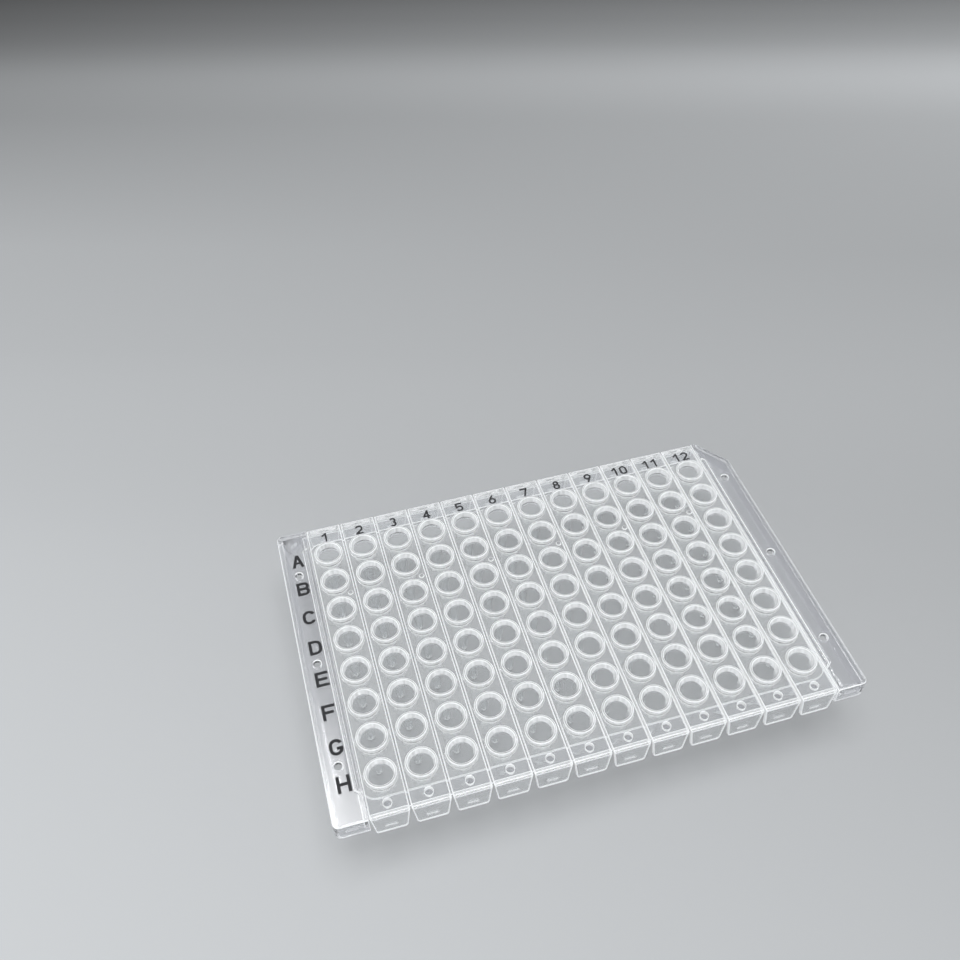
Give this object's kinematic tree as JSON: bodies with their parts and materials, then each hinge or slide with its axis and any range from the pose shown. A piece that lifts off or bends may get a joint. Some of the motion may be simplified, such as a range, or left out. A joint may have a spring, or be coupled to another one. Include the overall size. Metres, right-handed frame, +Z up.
{
  "type": "well plate",
  "caption": "Clear multi-well plate: strips of conical wells with raised rims and end tabs, resting on the ledges of an open frame with one cut corner.",
  "frame": {"origin": "middle of the plate's footprint, at the height of the well tips that it stands on", "axes": "+X along the numbered columns, from 1 to 12; +Y along the lettered rows, from H to A; +Z up, out of the well mouths"},
  "size_m": [0.1232, 0.082, 0.0155],
  "materials": {
    "clear_plastic": "gloss",
    "black_ink": "matte"
  },
  "bodies": {
    "root": {"strip_frame": "clear_plastic", "well_strip_01": "clear_plastic", "well_strip_02": "clear_plastic", "well_strip_03": "clear_plastic", "well_strip_04": "clear_plastic", "well_strip_05": "clear_plastic", "well_strip_06": "clear_plastic", "well_strip_07": "clear_plastic", "well_strip_08": "clear_plastic", "well_strip_09": "clear_plastic", "well_strip_10": "clear_plastic", "well_strip_11": "clear_plastic", "well_strip_12": "clear_plastic", "row_letters": "black_ink", "column_numbers": "black_ink"}
  },
  "joints": []
}
